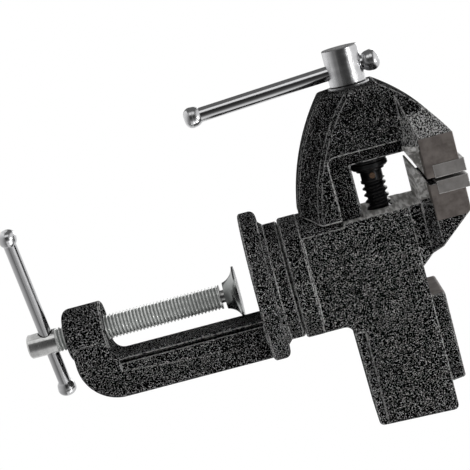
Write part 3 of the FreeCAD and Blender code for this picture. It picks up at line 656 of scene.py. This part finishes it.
# lead screw: hub and journal from the solid, coarse black thread, closed chamfered end
hub_end = cut_stretch("lead_screw", ((HUB_INNER_END, 0, 0), (1, 0, 0)))
journal = cut_stretch("lead_screw", ((LEAD_THREAD_START + THREAD_LAP, 0, 0), (1, 0, 0)),
                      ((HUB_INNER_END, 0, 0), (-1, 0, 0)))
far_end = cut_stretch("lead_screw", ((LEAD_THREAD_END - LEAD_END_LAP, 0, 0), (-1, 0, 0)))
lead_thread = made_by(THREAD, "lead_thread", Radius=LEAD_THREAD_R, Depth=LEAD_THREAD_DEPTH,
                      Pitch=LEAD_PITCH, Start=LEAD_THREAD_START, End=LEAD_THREAD_END,
                      Crest=0.22, Run_Out=0.0012, Segments=49, Rows=420, Material=oxide_x)
onto_axis = Matrix.Translation((0, 0, SCREW_AXIS_Z)) @ Matrix.Rotation(math.pi / 2, 4, "Y")
lead_thread.transform(onto_axis)
piece_from("threaded_lead_screw", [hub_end, journal, lead_thread, far_end], "lead_screw",
           ["lead_screw"], [nickel_x, oxide_x, oxide_x, oxide_x])

# clamp screw: head, fine zinc-plated thread, neck and ball
head_end = cut_stretch("clamp_screw", ((0, 0, CLAMP_THREAD_START + THREAD_LAP), (0, 0, 1)))
ball_end = cut_stretch("clamp_screw", ((0, 0, CLAMP_THREAD_END - CLAMP_END_LAP), (0, 0, -1)))
clamp_thread = made_by(THREAD, "clamp_thread", Radius=CLAMP_THREAD_R, Depth=CLAMP_THREAD_DEPTH,
                       Pitch=CLAMP_PITCH, Start=CLAMP_THREAD_START, End=CLAMP_THREAD_END,
                       Crest=0.14, Run_Out=0.0010, Segments=45, Rows=520, Material=zinc_thread)
piece_from("threaded_clamp_screw", [head_end, clamp_thread, ball_end], "clamp_screw",
           ["clamp_screw"], [zinc_head, zinc_thread, zinc])


# ---- floor, light and camera ------------------------------------------------------------

def white_to_camera(tree, surface, shade, mirrored):
    """Plain white for what the camera and glass see; shade is the share of real shading left.

    Mirrors see the same white, times the mirrored level.
    """
    path = add(tree, "ShaderNodeLightPath").outputs
    direct = sums(tree, "MAXIMUM", path["Is Camera Ray"], path["Is Glossy Ray"])
    seen = sums(tree, "MAXIMUM", direct, path["Is Transmission Ray"])
    share = sums(tree, "MULTIPLY", seen, sums(tree, "SUBTRACT", 1.0, shade))
    level = mix_value(tree, path["Is Glossy Ray"], 1.0, mirrored)
    white = add(tree, "ShaderNodeEmission", {"Color": (1, 1, 1, 1), "Strength": level})
    both = add(tree, "ShaderNodeMixShader")
    feed(tree, both.inputs[0], share)
    feed(tree, both.inputs[1], surface)
    feed(tree, both.inputs[2], white.outputs[0])
    return both.outputs[0]


def pale_floor():
    """Round white floor: it keeps the shadow near the object and is plain white at its rim."""
    mesh = bpy.data.meshes.new("floor")
    disc = bmesh.new()
    bmesh.ops.create_circle(disc, cap_ends=True, segments=96, radius=FLOOR_REACH)
    bmesh.ops.translate(disc, verts=disc.verts, vec=(0, 0, FLOOR_Z))
    disc.to_mesh(mesh)
    disc.free()
    material, tree, shader = new_material("pale_floor", Roughness=0.9, Specular_IOR_Level=0.1)
    shader.inputs["Base Color"].default_value = (0.86, 0.86, 0.86, 1.0)
    place = add(tree, "ShaderNodeTexCoord").outputs["Object"]
    away = add(tree, "ShaderNodeVectorMath", {0: place}, operation="LENGTH").outputs["Value"]
    shade = ramp(tree, away, 0.06, 0.7 * FLOOR_REACH, 0.12, 0.0)
    to_key_side = add(tree, "ShaderNodeVectorMath", {0: place, 1: (-0.6, 1.0, 0.0)},
                      operation="DOT_PRODUCT")
    mirrored = ramp(tree, to_key_side.outputs["Value"], -0.20, 0.20, 0.2, 1.0)
    feed(tree, tree.nodes["Material Output"].inputs["Surface"],
         white_to_camera(tree, shader.outputs[0], shade, mirrored))
    mesh.materials.append(material)
    floor = bpy.data.objects.new("floor", mesh)
    bpy.context.scene.collection.objects.link(floor)


def studio_world(horizon, overhead, front):
    """White to the camera; mirrors see white behind the object and overhead, and a dim front."""
    world = bpy.data.worlds.new("studio")
    world.use_nodes = True
    tree = world.node_tree
    back = tree.nodes["Background"]
    back.inputs["Color"].default_value = (1, 1, 1, 1)
    towards = add(tree, "ShaderNodeTexCoord").outputs["Generated"]
    aim = add(tree, "ShaderNodeSeparateXYZ", {0: towards}).outputs
    around = ramp(tree, aim["Z"], 0.25, 0.8, horizon, overhead)
    sideways = ramp(tree, aim["X"], -0.3, 0.8, 0.15, 0.8)
    dimmed = sums(tree, "MULTIPLY", sideways, ramp(tree, aim["Y"], -0.98, -0.6, front, 1.0))
    behind = sums(tree, "MULTIPLY", ramp(tree, aim["Y"], 0.5, 0.9),
                  ramp(tree, aim["X"], -0.12, 0.16))
    above = ramp(tree, aim["Z"], 0.4, 0.75, 0.0, 0.9)
    mirrored = sums(tree, "MAXIMUM", sums(tree, "MAXIMUM", dimmed, behind), above)
    path = add(tree, "ShaderNodeLightPath").outputs
    seen = sums(tree, "MAXIMUM", path["Is Camera Ray"], path["Is Transmission Ray"])
    light = mix_value(tree, path["Is Glossy Ray"], around, mirrored)
    feed(tree, back.inputs["Strength"], mix_value(tree, seen, light, 1.0))
    bpy.context.scene.world = world


def softbox(name, place, size, power):
    """Rectangular lamp that faces the middle of the object."""
    data = bpy.data.lights.new(name, "AREA")
    data.shape = "RECTANGLE"
    data.size, data.size_y = size
    data.energy = power
    lamp = bpy.data.objects.new(name, data)
    lamp.location = place
    lamp.rotation_euler = (Vector(place) - LAMP_TARGET).to_track_quat("Z", "Y").to_euler()
    bpy.context.scene.collection.objects.link(lamp)


def view_camera():
    """Camera turned on its side, so that the vise lies across the frame."""
    right = Vector((0.25996086, -0.00645743, 0.96559756))
    up = Vector((-0.94990274, 0.17797187, 0.25692565))
    back = Vector((-0.17350829, -0.98401439, 0.04013179))
    data = bpy.data.cameras.new("camera")
    data.sensor_width = CAMERA_SENSOR_MM
    data.lens = CAMERA_LENS_MM
    data.clip_start = 0.05
    data.clip_end = 100.0
    camera = bpy.data.objects.new("camera", data)
    turn = Matrix((right, up, back)).transposed().to_4x4()
    camera.matrix_world = Matrix.Translation(CAMERA_PLACE) @ turn
    bpy.context.scene.collection.objects.link(camera)
    bpy.context.scene.camera = camera


pale_floor()
studio_world(horizon=0.12, overhead=0.6, front=0.15)
softbox("key", (-0.92, -0.64, 0.00), (0.60, 0.75), 1.3)
softbox("fill", (0.85, -0.45, 0.45), (0.4, 0.4), 2.0)
softbox("top", (0.16, -0.60, 0.76), (0.30, 0.20), 2.8)
softbox("rim", (-0.3, 0.95, 0.5), (0.6, 0.6), 3.0)
view_camera()
bpy.context.scene.view_settings.view_transform = "Standard"
